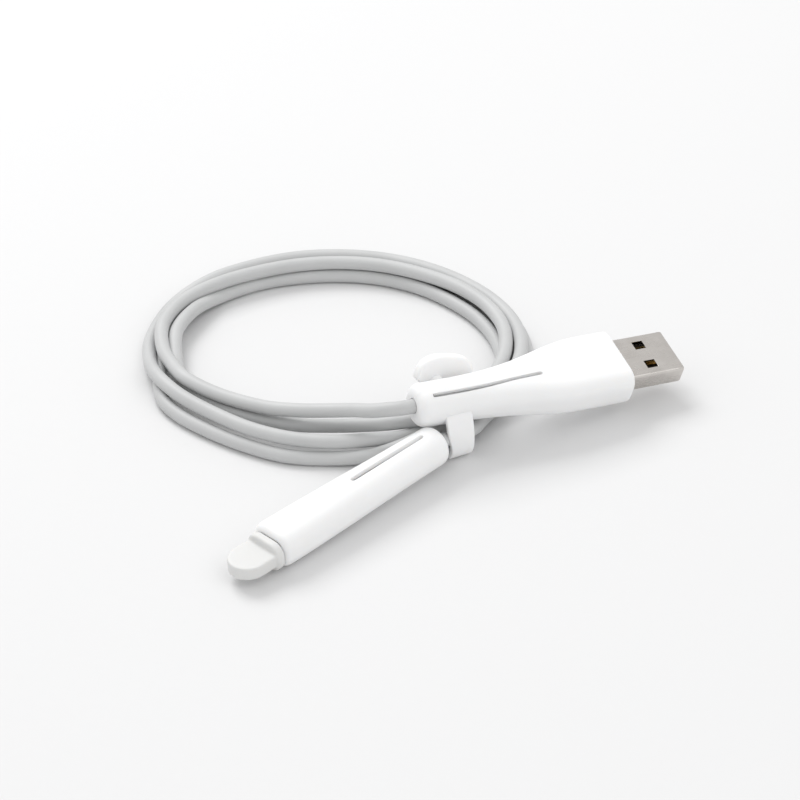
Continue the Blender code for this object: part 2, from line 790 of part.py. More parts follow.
def build():
    for old in list(bpy.data.objects):
        bpy.data.objects.remove(old, do_unlink=True)

    plug_turn = (PLUG_ROLL, PLUG_PITCH, PLUG_YAW)
    plug_frame = empty("type_a_end", PLUG_PLACE, plug_turn)
    plug_matrix = frame_matrix(PLUG_PLACE, plug_turn)
    plug_cable_end = type_a_plug(plug_frame)
    plug_sleeve = sleeve(
        "plug_sleeve",
        sleeve_outline,
        SLEEVE_LENGTH,
        SLEEVE_COLLAR_R,
        SLEEVE_WALL,
        COLLAR_LENGTH,
        plug_frame,
    )
    slot = slot_cutter(
        "plug_slot", SLOT_START, SLOT_LENGTH, SLOT_WIDTH, SLOT_SIDE, plug_frame
    )
    cut(plug_sleeve, slot)

    phone_turn = (PHONE_ROLL, PHONE_PITCH, PHONE_YAW)
    phone_frame = empty("phone_end", PHONE_PLACE, phone_turn)
    phone_matrix = frame_matrix(PHONE_PLACE, phone_turn)
    phone_cable_end = phone_plug(phone_frame)
    phone_sleeve = sleeve(
        "phone_sleeve",
        phone_sleeve_outline,
        PHONE_SLEEVE_LENGTH,
        PHONE_COLLAR_R,
        PHONE_SLEEVE_WALL,
        COLLAR_LENGTH,
        phone_frame,
    )
    phone_slot = slot_cutter(
        "phone_slot",
        PHONE_SLOT_START,
        PHONE_SLOT_LENGTH,
        PHONE_SLOT_WIDTH,
        PHONE_SLOT_SIDE,
        phone_frame,
    )
    cut(phone_sleeve, phone_slot)
    cap_frame = empty("cap_slide", (PHONE_SLEEVE_LENGTH, 0.0, 0.0), parent=phone_frame)
    phone_cap(cap_frame)

    on_axis = plug_matrix @ Vector((STRAP_ALONG, 0.0, 0.0))
    strap_place = Vector((on_axis.x, on_axis.y, 0.0))
    strap_frame = empty("strap", strap_place, (0.0, 0.0, PLUG_YAW))
    strap_band(strap_frame, on_axis.z)
    half = STRAP_THICK / 2
    hinge = empty("strap_hinge", (0.0, STRAP_FAR + half, half), parent=strap_frame)
    strap_flap(hinge, on_axis.z)
    button_start = SLEEVE_COLLAR_R + 2 * GAP
    button_end = STRAP_FAR + half + TAB_THICK / 2 + GAP
    cylinder_y("strap_button", BUTTON_D, button_start, button_end, on_axis.z, strap_frame)

    cable_coil(strap_place)
    lead("cable_lead_plug", plug_matrix, plug_cable_end, PLUG_LEAD_MM)
    lead("cable_lead_phone", phone_matrix, phone_cable_end, PHONE_LEAD_MM)


build()
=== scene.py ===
# %% [markdown]
# # A charging cable, coiled and strapped
# The object is one metre of round cable with a plug at each end.
# Each plug wears a slit silicone sleeve. The larger sleeve has a strap that buttons round the coil.
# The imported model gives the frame: every new piece is made at the place of the solid that it stands for.

# %% Load the frame
import json
from math import cos, pi, radians, sin

import bmesh
import bpy
import numpy as np
from mathutils import Euler, Matrix, Vector


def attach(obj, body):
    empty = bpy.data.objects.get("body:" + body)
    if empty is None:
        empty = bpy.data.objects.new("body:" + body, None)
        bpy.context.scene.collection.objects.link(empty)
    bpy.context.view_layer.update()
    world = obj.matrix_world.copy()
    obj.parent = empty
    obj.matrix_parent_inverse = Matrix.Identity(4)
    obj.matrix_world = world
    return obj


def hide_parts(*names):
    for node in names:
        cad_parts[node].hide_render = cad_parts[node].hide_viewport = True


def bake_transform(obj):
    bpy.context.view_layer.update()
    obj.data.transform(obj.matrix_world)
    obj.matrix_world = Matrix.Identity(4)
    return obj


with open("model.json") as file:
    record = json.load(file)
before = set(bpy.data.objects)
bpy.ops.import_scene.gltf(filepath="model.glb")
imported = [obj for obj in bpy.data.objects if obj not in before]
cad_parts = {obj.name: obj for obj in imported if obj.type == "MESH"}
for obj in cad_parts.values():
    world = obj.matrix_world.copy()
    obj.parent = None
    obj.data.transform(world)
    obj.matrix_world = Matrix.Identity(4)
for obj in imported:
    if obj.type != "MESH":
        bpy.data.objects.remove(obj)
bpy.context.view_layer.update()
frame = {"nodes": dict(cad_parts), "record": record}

MM = 0.001

# %% [markdown]
# ## Camera
# A long lens from some way off keeps the coil's ellipse nearly the same at its near and far sides.
# The camera looks down at the table and straight along +Y, so the cable's left and right stay left and right.

# %% Camera
CAMERA_LENS = 140.0
CAMERA_SENSOR = 36.0
CAMERA_DISTANCE = 0.696
CAMERA_ELEVATION = radians(34.0)
AIM = Vector((-13.8, 29.1, 0.0)) * MM

camera_data = bpy.data.cameras.new("camera")
camera_data.lens = CAMERA_LENS
camera_data.sensor_width = CAMERA_SENSOR
camera = bpy.data.objects.new("camera", camera_data)
back_off = Vector((0.0, -cos(CAMERA_ELEVATION), sin(CAMERA_ELEVATION)))
camera.location = AIM + CAMERA_DISTANCE * back_off
camera.rotation_euler = (pi / 2 - CAMERA_ELEVATION, 0.0, 0.0)
bpy.context.scene.collection.objects.link(camera)
bpy.context.scene.camera = camera
print("camera at", [round(c, 3) for c in camera.location])

# %% [markdown]
# ## The cable's route
# The cable is 3.2 mm thick, so each strand has to keep about that far from its neighbours.
# A route given point by point keeps control of the crossings: each turn is a list of angle, radius and height
# round the coil's middle. A smooth curve through the points does the rest.
# The two leads repeat the places where the cable leaves its plugs.

# %% Route points
CABLE_D = 3.2 * MM
COIL_CENTRE = (-28.1, 42.1)
PLUG_LEAD = [
    (-5.6, 8.6, 13.4), (-8.3, 7.3, 13.7), (-10.95, 6.0, 14.0), (-13.4, 5.15, 14.05), (-16.4, 5.2, 13.65),
    (-19.8, 6.6, 12.4), (-23.6, 9.0, 10.9), (-28.7, 11.4, 9.2), (-35.0, 13.0, 8.1),
]
FIRST_TURN = [
    (242, 30.2, 7.1), (231, 31.0, 6.7), (220, 32.6, 6.5), (210, 34.5, 6.4), (200, 36.4, 6.1),
    (190, 37.5, 5.4), (180, 39.2, 4.9), (165, 41.4, 4.8), (150, 41.5, 4.9), (135, 40.1, 4.9),
    (120, 38.8, 4.8), (105, 38.2, 4.8), (90, 38.0, 4.8), (75, 38.0, 4.8), (60, 38.1, 4.8),
    (45, 38.8, 4.8), (30, 39.3, 4.8), (15, 39.2, 4.8), (0, 38.1, 4.8), (-15, 36.8, 4.9),
    (-30, 35.8, 5.2), (-51, 35.9, 6.1),
]
SECOND_TURN = [
    (-65, 33.0, 5.5), (-80, 29.4, 4.1), (-91, 28.4, 3.6), (-105, 29.0, 3.5), (-120, 30.4, 3.4),
    (-135, 32.3, 3.3), (-150, 34.6, 3.2), (-160, 35.7, 3.0), (-170, 36.1, 3.0), (-182, 36.7, 3.4),
    (-195, 38.1, 3.8), (-210, 38.4, 3.6), (-225, 38.9, 2.0), (-240, 38.6, 1.6), (-255, 37.7, 1.6),
    (-270, 37.3, 1.6), (-285, 37.2, 1.6), (-300, 37.0, 1.6), (-315, 36.8, 1.6), (-330, 37.1, 1.6),
    (-345, 37.4, 1.6), (-360, 37.6, 1.6), (-375, 37.7, 1.6), (-390, 36.6, 1.9), (-411, 36.0, 2.9),
]
THIRD_TURN = [
    (-425, 35.8, 3.4), (-437, 35.7, 4.3), (-450, 36.3, 4.8), (-465, 36.3, 4.8), (-480, 36.3, 4.8),
    (-495, 36.7, 4.8), (-510, 38.6, 4.8), (-520, 40.2, 4.7), (-530, 41.6, 3.9), (-540, 42.4, 2.3),
    (-550, 43.6, 1.6), (-560, 44.2, 1.9), (-570, 44.0, 3.2), (-585, 42.9, 4.5), (-600, 41.9, 4.7),
    (-615, 41.6, 4.7), (-630, 41.1, 4.8), (-645, 41.1, 4.7), (-660, 41.2, 4.6), (-675, 41.7, 4.3),
    (-690, 42.2, 4.2), (-705, 42.3, 4.3), (-720, 41.7, 4.5), (-735, 40.4, 4.7), (-750, 39.0, 5.2),
    (-771, 39.2, 6.1),
]
FOURTH_TURN = [
    (-785, 39.3, 4.2), (-797, 38.8, 2.4), (-810, 38.0, 1.6), (-825, 38.5, 1.6), (-840, 38.3, 1.6),
    (-855, 39.0, 1.6), (-868, 40.6, 1.6), (-877, 41.4, 1.6), (-886, 40.8, 1.6), (-900, 39.3, 1.6),
    (-915, 40.9, 1.6), (-930, 41.5, 1.6), (-945, 41.9, 1.6), (-960, 41.8, 1.6), (-975, 41.2, 1.6),
    (-990, 41.0, 1.6), (-1005, 41.2, 1.6), (-1020, 41.8, 1.6), (-1035, 42.8, 1.6), (-1050, 43.6, 1.6),
    (-1065, 43.6, 1.6), (-1080, 43.0, 1.6), (-1095, 41.2, 1.6), (-1110, 39.8, 1.7),
]
PHONE_LEAD = [
    (4.1, 17.5, 2.4), (2.7, 13.7, 3.3), (1.0, 10.6, 4.2), (-1.1, 8.1, 5.0), (-3.3, 5.5, 5.9),
    (-4.7, 3.9, 6.4), (-6.9, 1.6, 6.4), (-9.3, -0.9, 6.3),
]


def round_the_coil(turn):
    """The points of one turn, from angle, radius and height round the coil's middle."""
    x0, y0 = COIL_CENTRE
    return [
        (x0 + radius * cos(radians(angle)), y0 + radius * sin(radians(angle)), height)
        for angle, radius, height in turn
    ]


route = list(PLUG_LEAD)
for turn in (FIRST_TURN, SECOND_TURN, THIRD_TURN, FOURTH_TURN):
    route += round_the_coil(turn)
route += PHONE_LEAD
print("route points:", len(route))

# %% [markdown]
# ## The cable
# The real one is a soft jacket over four cores, extruded with a plain round section.
# A curve with a round bevel is made just that way: one line, one thickness.
# The line is a Catmull-Rom spline worked out between the points, with the steps between points of unequal
# length allowed for, so that it doesn't overshoot where they lie close together.

# %% Cable curve
STEPS_BETWEEN = 6
CABLE_ROUND = 7


def smooth_line(points, steps):
    """A Catmull-Rom line through the points, with centripetal spacing."""
    known = [np.array(p, float) for p in points]
    known = [2 * known[0] - known[1]] + known + [2 * known[-1] - known[-2]]
    line = []
    for before, start, end, after in zip(known, known[1:], known[2:], known[3:]):
        d0 = np.linalg.norm(start - before) ** 0.5
        d1 = np.linalg.norm(end - start) ** 0.5
        d2 = np.linalg.norm(after - end) ** 0.5
        leave = ((start - before) / d0 - (end - before) / (d0 + d1) + (end - start) / d1) * d1
        arrive = ((end - start) / d1 - (after - start) / (d1 + d2) + (after - end) / d2) * d1
        for k in range(steps):
            t = k / steps
            line.append(
                (2 * t**3 - 3 * t**2 + 1) * start + (t**3 - 2 * t**2 + t) * leave
                + (3 * t**2 - 2 * t**3) * end + (t**3 - t**2) * arrive
            )
    line.append(known[-2])
    return np.array(line)


cable_line = smooth_line(route, STEPS_BETWEEN) * MM
cable_data = bpy.data.curves.new("charging_cord", "CURVE")
cable_data.dimensions = "3D"
cable_data.bevel_depth = CABLE_D / 2
cable_data.bevel_resolution = CABLE_ROUND
cable_data.use_fill_caps = True
spline = cable_data.splines.new("POLY")
spline.points.add(len(cable_line) - 1)
spline.points.foreach_set("co", np.c_[cable_line, np.ones(len(cable_line))].ravel())
spline.use_smooth = True
cord = bpy.data.objects.new("charging_cord", cable_data)
bpy.context.scene.collection.objects.link(cord)

# %% [markdown]
# ## Finishes
# The soft parts are moulded silicone: a satin surface with a very fine grain from the mould, a faint
# unevenness in its sheen, and a little light that goes in and comes out again.
# A noise texture on Object coordinates gives the grain and the sheen, so it stays put on the piece.

# %% Node helpers


def new_finish(name, colour, roughness, metallic=0.0):
    """A Principled finish with its constant values set on the shader's own sockets."""
    finish = bpy.data.materials.new(name)
    finish.use_nodes = True
    shader = finish.node_tree.nodes["Principled BSDF"]
    shader.inputs["Base Color"].default_value = (*colour, 1.0)
    shader.inputs["Roughness"].default_value = roughness
    shader.inputs["Metallic"].default_value = metallic
    return finish, finish.node_tree.nodes, finish.node_tree.links, shader


def noise_on_object(nodes, links, scale, detail, stretch=(1.0, 1.0, 1.0)):
    """A noise texture that reads Object coordinates, stretched if the grain has a direction."""
    place = nodes.new("ShaderNodeTexCoord")
    mapping = nodes.new("ShaderNodeMapping")
    mapping.inputs["Scale"].default_value = stretch
    noise = nodes.new("ShaderNodeTexNoise")
    noise.inputs["Scale"].default_value = scale
    noise.inputs["Detail"].default_value = detail
    links.new(place.outputs["Object"], mapping.inputs["Vector"])
    links.new(mapping.outputs["Vector"], noise.inputs["Vector"])
    return noise


def spread(nodes, links, noise, low, high):
    """Turns a noise's middle range into values from low to high."""
    ranged = nodes.new("ShaderNodeMapRange")
    ranged.inputs["From Min"].default_value = 0.3
    ranged.inputs["From Max"].default_value = 0.7
    ranged.inputs["To Min"].default_value = low
    ranged.inputs["To Max"].default_value = high
    links.new(noise.outputs["Fac"], ranged.inputs["Value"])
    return ranged.outputs["Result"]


def two_tones(nodes, links, noise, first, second):
    """A colour that wanders between two tones with the noise."""
    ramp = nodes.new("ShaderNodeValToRGB")
    ramp.color_ramp.elements[0].position = 0.3
    ramp.color_ramp.elements[0].color = (*first, 1.0)
    ramp.color_ramp.elements[1].position = 0.7
    ramp.color_ramp.elements[1].color = (*second, 1.0)
    links.new(noise.outputs["Fac"], ramp.inputs["Fac"])
    return ramp.outputs["Color"]


def relief(nodes, links, shader, noise, strength, depth):
    """A bump of that depth in metres on the shader's normal."""
    bump = nodes.new("ShaderNodeBump")
    bump.inputs["Strength"].default_value = strength
    bump.inputs["Distance"].default_value = depth
    links.new(noise.outputs["Fac"], bump.inputs["Height"])
    links.new(bump.outputs["Normal"], shader.inputs["Normal"])

# %% Moulded silicone and plastic finishes
CLOUD_SCALE = 90.0  # clouds of about a centimetre
SOFT_COLOURS = (1.0, 0.9, 0.8)  # how far red, green and blue light travel inside, as shares
SOFT_DEPTH = 1.2 * MM


def moulded(name, light, dark, rough, grain_scale, grain_depth, soft=0.0, coat=0.0):
    """A moulded finish: a cloudy tone, an uneven sheen and a fine grain."""
    finish, nodes, links, shader = new_finish(name, light, sum(rough) / 2)
    cloud = noise_on_object(nodes, links, CLOUD_SCALE, 3.0)
    grain = noise_on_object(nodes, links, grain_scale, 4.0)
    links.new(two_tones(nodes, links, cloud, dark, light), shader.inputs["Base Color"])
    links.new(spread(nodes, links, grain, *rough), shader.inputs["Roughness"])
    relief(nodes, links, shader, grain, 0.35, grain_depth)
    shader.inputs["Subsurface Weight"].default_value = soft
    shader.inputs["Subsurface Radius"].default_value = SOFT_COLOURS
    shader.inputs["Subsurface Scale"].default_value = SOFT_DEPTH
    shader.inputs["Coat Weight"].default_value = coat
    return finish


white_silicone = moulded(
    "white_silicone", (0.90, 0.90, 0.90), (0.87, 0.87, 0.87), (0.42, 0.55), 5200.0, 0.00001, soft=0.25
)
cap_silicone = moulded(
    "cap_silicone", (0.74, 0.74, 0.73), (0.70, 0.70, 0.69), (0.46, 0.60), 5200.0, 0.00001, soft=0.2
)
cable_jacket = moulded(
    "cable_jacket", (0.55, 0.555, 0.555), (0.51, 0.515, 0.515), (0.42, 0.56), 4200.0, 0.00002, soft=0.05
)
housing_plastic = moulded(
    "housing_plastic", (0.86, 0.86, 0.86), (0.83, 0.83, 0.83), (0.24, 0.36), 3000.0, 0.000006, coat=0.15
)
insulator = moulded(
    "insulator", (0.030, 0.024, 0.018), (0.016, 0.013, 0.010), (0.34, 0.5), 4000.0, 0.00001
)
print("moulded finishes:", white_silicone.name, cap_silicone.name, cable_jacket.name)

# %% [markdown]
# The shell is nickel-plated sheet steel, drawn and folded. Drawing leaves very fine lines along the plug,
# so the noise is stretched along that direction, and the same noise roughens the reflection a little.

# %% Metal, contact and board finishes
PLUG_YAW = 27.2
LINE_STRETCH = (16.0, 0.6, 0.6)
LINE_SCALE, STAIN_SCALE = 900.0, 260.0


def drawn_metal(name, light, dark, rough, yaw):
    """Plated sheet metal with fine lines along the plug and a few soft stains."""
    finish, nodes, links, shader = new_finish(name, light, sum(rough) / 2, 1.0)
    lines = noise_on_object(nodes, links, LINE_SCALE, 6.0, LINE_STRETCH)
    along_plug = next(n for n in nodes if n.bl_idname == "ShaderNodeMapping")
    along_plug.vector_type = "TEXTURE"
    along_plug.inputs["Rotation"].default_value = (0.0, 0.0, radians(yaw))
    stains = noise_on_object(nodes, links, STAIN_SCALE, 3.0)
    links.new(two_tones(nodes, links, stains, dark, light), shader.inputs["Base Color"])
    links.new(spread(nodes, links, lines, *rough), shader.inputs["Roughness"])
    relief(nodes, links, shader, lines, 0.12, 0.000004)
    return finish


nickel_steel = drawn_metal("nickel_steel", (0.66, 0.63, 0.60), (0.58, 0.55, 0.52), (0.22, 0.36), PLUG_YAW)
gold_contact = drawn_metal("gold_contact", (0.86, 0.62, 0.24), (0.74, 0.50, 0.17), (0.18, 0.32), PLUG_YAW)
board_resin = moulded(
    "board_resin", (0.02, 0.15, 0.07), (0.015, 0.11, 0.05), (0.22, 0.34), 2500.0, 0.000008, coat=0.3
)
CORE_TONES = {
    "core_red": ((0.50, 0.03, 0.02), (0.42, 0.02, 0.02)),
    "core_white": ((0.8, 0.8, 0.78), (0.74, 0.74, 0.72)),
    "core_green": ((0.03, 0.28, 0.07), (0.02, 0.22, 0.05)),
    "core_black": ((0.02, 0.02, 0.02), (0.012, 0.012, 0.012)),
}
core_finishes = {
    name: moulded(name, light, dark, (0.35, 0.5), 3500.0, 0.00001)
    for name, (light, dark) in CORE_TONES.items()
}
finishes = {
    "white_silicone": white_silicone, "cap_silicone": cap_silicone, "cable_jacket": cable_jacket,
    "housing_plastic": housing_plastic, "insulator": insulator, "nickel_steel": nickel_steel,
    "gold_contact": gold_contact, "board_resin": board_resin, **core_finishes,
}
print("finishes:", len(finishes))

# %% [markdown]
# ## The inside of the plugs
# The contacts, boards, cores and crimps are hard little pieces whose solids are right as they are.
# They keep their meshes and take the finish that the record names for each.

# %% Finish the carried-over solids
for entry in frame["record"]["subparts"]:
    solid = frame["nodes"][entry["node"]]
    solid.data.materials.clear()
    solid.data.materials.append(finishes[entry["material_slot"]])

cable_data.materials.append(cable_jacket)
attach(cord, "cable")
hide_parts("cable_coil", "cable_lead_plug", "cable_lead_phone")
print("cable stands for its coil and both leads")

# %% [markdown]
# ## Places of the two plugs
# Each plug lies in its own frame: x runs from the cable's collar to the tip, z is the plug's own up.
# The type-A plug is rolled a little towards the viewer, because its sleeve rests on the coil.

# %% Plug frames


def plug_frame(place, roll, pitch, yaw):
    """The placement of a plug whose cable end is at place and whose tip lies along its x."""
    turn = Euler((radians(roll), radians(pitch), radians(yaw)), "XYZ").to_matrix().to_4x4()
    return Matrix.Translation(Vector(place) * MM) @ turn


type_a_frame = plug_frame(place=(-10.9, 5.9, 14.5), roll=15.0, pitch=6.1, yaw=PLUG_YAW)
phone_frame = plug_frame(place=(-5.6, 2.9, 6.5), roll=0.0, pitch=2.0, yaw=225.0)
print("type-A axis:", [round(c, 3) for c in type_a_frame.col[0][:3]])

# %% [markdown]
# ## A way to make the sleeves
# A sleeve is a skin drawn through rounded sections from its collar to its mouth.
# One circle of vertices takes the shape of the first section, then its edges are extruded to each next one.
# The vertices over the slit keep the slit's own width all the way, so its sides are straight lines of edges,
# and the faces between them can simply be taken out.

# %% Sections and skins
SLIT_POINTS = 7
QUARTER_STEPS = 24
FULL_SLIT_FROM = 4.0  # on sections with a smaller half width, the slit's points draw in


def smooth_ramp(t):
    """A smooth rise from 0 to 1 as t goes from 0 to 1."""
    t = min(max(t, 0.0), 1.0)
    return t * t * (3 - 2 * t)


def rounded_section(half_width, half_height, corner, count, gap):
    """count points (y, z) round a rounded rectangle, SLIT_POINTS of them over the slit on top."""
    corner = min(corner, half_width, half_height)
    fine = []
    for quarter, (sy, sz) in enumerate(((1, 1), (1, -1), (-1, -1), (-1, 1))):
        for step in range(QUARTER_STEPS):
            angle = pi / 2 - (quarter + step / (QUARTER_STEPS - 1)) * pi / 2
            y = sy * (half_width - corner) + corner * cos(angle)
            z = sz * (half_height - corner) + corner * sin(angle)
            fine.append((y, z))
    fine = np.array([(0.0, half_height)] + fine + [(0.0, half_height)])
    along = np.concatenate([[0.0], np.cumsum(np.linalg.norm(np.diff(fine, axis=0), axis=1))])
    total = along[-1]
    over_y, over_along = fine[: QUARTER_STEPS + 2, 0], along[: QUARTER_STEPS + 2]
    fit = min(1.0, half_width / FULL_SLIT_FROM)
    first, last = (float(np.sign(y) * np.interp(abs(y) * fit, over_y, over_along)) for y in gap)
    over = np.linspace(first, last, SLIT_POINTS)
    under = np.linspace(last, total + first, count - SLIT_POINTS + 2)[1:-1]
    marks = np.concatenate([over % total, under])
    around = (np.interp(marks, along, fine[:, axis]).tolist() for axis in (0, 1))
    return list(zip(*around))


def skin_through(sections):
    """A bmesh skin through sections, each (x, points); it returns the rows of vertices too."""
    bm = bmesh.new()
    row = bmesh.ops.create_circle(bm, segments=len(sections[0][1]), radius=1.0)["verts"]
    rows = []
    for index, (x, points) in enumerate(sections):
        if index:
            ring = set(row)
            edges = [e for e in bm.edges if e.verts[0] in ring and e.verts[1] in ring]
            made = bmesh.ops.extrude_edge_only(bm, edges=edges)["geom"]
            fresh = {g for g in made if isinstance(g, bmesh.types.BMVert)}
            row = [next(e.other_vert(v) for e in v.link_edges if e.other_vert(v) in fresh) for v in row]
        for vertex, (y, z) in zip(row, points):
            vertex.co = Vector((x, y, z)) * MM
        rows.append(row)
    return bm, rows

# %% Place, round and soften
SOFT_FROM_ANGLE = 40.0
SHARP_ANGLE = 60.0


def sharp_edges(bm):
    """The edges where two faces meet at more than SHARP_ANGLE degrees."""
    return [e for e in bm.edges if len(e.link_faces) == 2 and e.calc_face_angle() > radians(SHARP_ANGLE)]


def round_off(bm, edges, radius, segments):
    """A round bevel of that radius in millimetres on the edges."""
    bmesh.ops.bevel(
        bm, geom=edges, offset=radius * MM, segments=segments, profile=0.5, affect="EDGES", material=-1
    )


def place_piece(name, bm, place, finish, body):
    """A finished piece: its place goes in its mesh, its object stays at the origin."""
    bmesh.ops.recalc_face_normals(bm, faces=bm.faces)
    bmesh.ops.transform(bm, matrix=place, verts=bm.verts)
    mesh = bpy.data.meshes.new(name)
    bm.to_mesh(mesh)
    bm.free()
    mesh.materials.append(finish)
    mesh.shade_smooth()
    piece = bpy.data.objects.new(name, mesh)
    bpy.context.scene.collection.objects.link(piece)
    if body:
        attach(piece, body)
    return piece


def soften(piece, wall=None, edge=None, smooth=1):
    """A wall inwards, rounded edges and a subdivision, as far as each is asked for."""
    if wall:
        solid = piece.modifiers.new("wall", "SOLIDIFY")
        solid.thickness = wall
        solid.offset = -1.0
        solid.use_even_offset = True
    if edge:
        bevel = piece.modifiers.new("edges", "BEVEL")
        bevel.width = edge
        bevel.segments = 3
        bevel.limit_method = "ANGLE"
        bevel.angle_limit = radians(SOFT_FROM_ANGLE)
    if smooth:
        sub = piece.modifiers.new("smooth", "SUBSURF")
        sub.levels = sub.render_levels = smooth

# %% [markdown]
# ## The type-A plug's sleeve
# It starts as a round collar on the cable, keeps that size under the strap, then widens and flattens
# towards the plug. Its near side widens earlier than its far side, and it sags a little off the plug's axis.
# A long slit, a little to the near side of the top, lets it be pulled over the plug. The slit's ends are
# drawn to half circles by moving the vertices there.

# %% Type-A sleeve
PLUG_COLLAR_R = 4.9
PLUG_MOUTH = (8.5, 4.6, 3.2)
PLUG_LENGTH = 50.9
PLUG_SLIT = (3.0, 29.9, -2.2, -1.3)
NEAR_WIDENS = (7.0, 37.0, 1.6)
FAR_WIDENS = (18.0, 43.0, 1.3)
SAG_X = (0.0, 3.0, 10.0, 17.0, 23.0, 30.0, PLUG_LENGTH)
SAG = (-0.5, -0.8, -0.9, -0.85, -0.3, 0.0, 0.0)
COLLAR_BORE = 1.72
SLEEVE_POINTS = 56
SLIT_STEPS = 12
MOUTH_STEPS = 9
COLLAR_FACE = 0.45  # how far in towards the bore the ring on the collar's face lies
COLLAR_TURNS = (25, 50, 70, 90)
LIP_TURNS = (30, 60, 90)
MOUTH_INWARDS = 0.5


def widened(x, start, end, power):
    """A half width that grows from the collar's to the mouth's between start and end."""
    share = smooth_ramp((x - start) / (end - start)) ** power
    return PLUG_COLLAR_R + (PLUG_MOUTH[0] - PLUG_COLLAR_R) * share


def plug_size(x):
    """Half width, half height, corner, sideways shift and sag of the type-A sleeve at x."""
    near, far = widened(x, *NEAR_WIDENS), widened(x, *FAR_WIDENS)
    flat = smooth_ramp((x - NEAR_WIDENS[0]) / (NEAR_WIDENS[1] - NEAR_WIDENS[0]))
    half_height = PLUG_COLLAR_R + (PLUG_MOUTH[1] - PLUG_COLLAR_R) * flat
    corner = half_height + (PLUG_MOUTH[2] - half_height) * flat
    return (near + far) / 2, half_height, corner, (far - near) / 2, float(np.interp(x, SAG_X, SAG))


def slit_sleeve(size_at, length, slit, edge_r, lip):
    """The skin of a sleeve from its collar's hole to its mouth's lip, with the slit taken out."""
    start, end, near_edge, far_edge = slit
    gap_half = (far_edge - near_edge) / 2
    gap_middle = (far_edge + near_edge) / 2
    sections = []

    def add(x, shrink, bore_share=0.0):
        w, h, c, side, sag = size_at(x)
        w, h, c = (v - shrink for v in (w, h, c))
        w, h, c = (v + (COLLAR_BORE - v) * bore_share for v in (w, h, c))
        ring = rounded_section(w, h, c, SLEEVE_POINTS, (near_edge - side, far_edge - side))
        sections.append((x, [(y + side, z + sag) for y, z in ring]))

    add(0.0, 0.0, 1.0)
    add(0.0, edge_r, COLLAR_FACE)
    add(0.0, edge_r)
    for turn in COLLAR_TURNS:
        angle = radians(turn)
        add(edge_r * (1 - cos(angle)), edge_r * (1 - sin(angle)))
    add(0.5 * (edge_r + start), 0.0)
    add(start, 0.0)
    slit_first = len(sections) - 1
    for k in range(SLIT_STEPS + 1):
        add(start + gap_half + (end - start - 2 * gap_half) * k / SLIT_STEPS, 0.0)
    add(end, 0.0)
    slit_last = len(sections) - 1
    for k in range(1, MOUTH_STEPS + 1):
        add(end + (length - lip - end) * k / MOUTH_STEPS, 0.0)
    for turn in LIP_TURNS:
        angle = radians(turn)
        add(length - lip * (1 - sin(angle)), lip * (1 - cos(angle)))
    add(length, lip + MOUTH_INWARDS)
    bm, rows = skin_through(sections)
    gone = set()
    for i in range(slit_first, slit_last):
        for k in range(SLIT_POINTS - 1):
            corners = {rows[i][k], rows[i][k + 1], rows[i + 1][k], rows[i + 1][k + 1]}
            gone |= {f for f in rows[i][k].link_faces if set(f.verts) == corners}
    bmesh.ops.delete(bm, geom=list(gone), context="FACES_ONLY")
    centre = (SLIT_POINTS - 1) / 2
    for row, x_end, sign in ((rows[slit_first], start, 1), (rows[slit_last], end, -1)):
        w, h, c, side, sag = size_at(x_end)
        for k in range(SLIT_POINTS):
            angle = (k - centre) / (centre + 1) * pi / 2
            y = gap_middle + gap_half * sin(angle)
            x = x_end + sign * gap_half * (1 - cos(angle))
            reach = min(max(0.0, abs(y - side) - (w - c)), c)
            z = h - c + (c * c - reach * reach) ** 0.5 + sag
            row[k].co = Vector((x, y, z)) * MM
    bmesh.ops.delete(bm, geom=[v for v in bm.verts if not v.link_faces], context="VERTS")
    bmesh.ops.delete(bm, geom=[e for e in bm.edges if not e.link_faces], context="EDGES")
    return bm


plug_sleeve = place_piece(
    "plug_sleeve_skin",
    slit_sleeve(plug_size, PLUG_LENGTH, PLUG_SLIT, 2.2, 0.55),
    type_a_frame, white_silicone, "cable",
)
soften(plug_sleeve, wall=1.1 * MM, edge=0.3 * MM, smooth=1)
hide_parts("plug_sleeve")
print("type-A sleeve faces:", len(plug_sleeve.data.polygons))

# %% [markdown]
# ## The phone plug's sleeve
# The smaller sleeve widens evenly all the way to its mouth, whose edge is rounder, and its slit runs
# along the top.

# %% Phone sleeve
PHONE_COLLAR_R = 4.5
PHONE_MOUTH = (5.4, 4.2, 3.4)
PHONE_LENGTH = 49.6
PHONE_SLIT = (4.6, 26.0, -0.5, 0.6)


def phone_size(x):
    """Half width, half height, corner, sideways shift and sag of the phone sleeve at x."""
    t = smooth_ramp(x / PHONE_LENGTH)
    half_width = PHONE_COLLAR_R + (PHONE_MOUTH[0] - PHONE_COLLAR_R) * t
    half_height = PHONE_COLLAR_R + (PHONE_MOUTH[1] - PHONE_COLLAR_R) * t
    return half_width, half_height, half_height + (PHONE_MOUTH[2] - half_height) * t, 0.0, 0.0


phone_sleeve = place_piece(
    "phone_sleeve_skin",
    slit_sleeve(phone_size, PHONE_LENGTH, PHONE_SLIT, 2.0, 1.4),
    phone_frame, white_silicone, "cable",
)
soften(phone_sleeve, wall=1.2 * MM, edge=0.25 * MM, smooth=1)
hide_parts("phone_sleeve")
print("phone sleeve faces:", len(phone_sleeve.data.polygons))

# %% [markdown]
# ## The boots
# A boot is the strain relief: a soft taper that stops the cable from kinking where it enters the plug.
# It shows through the slit. Rounded sections along the axis give the taper and its soft nose.

# %% Boots
CABLE_HOLE_R = 1.75
BOOT_NOSE = ((0.05, 0.45), (0.45, 0.05), (1.0, 0.0))
BOOT_STEPS = 22
BOOT_POINTS = 32
BOOT_TOP = (-1.2, 1.2)


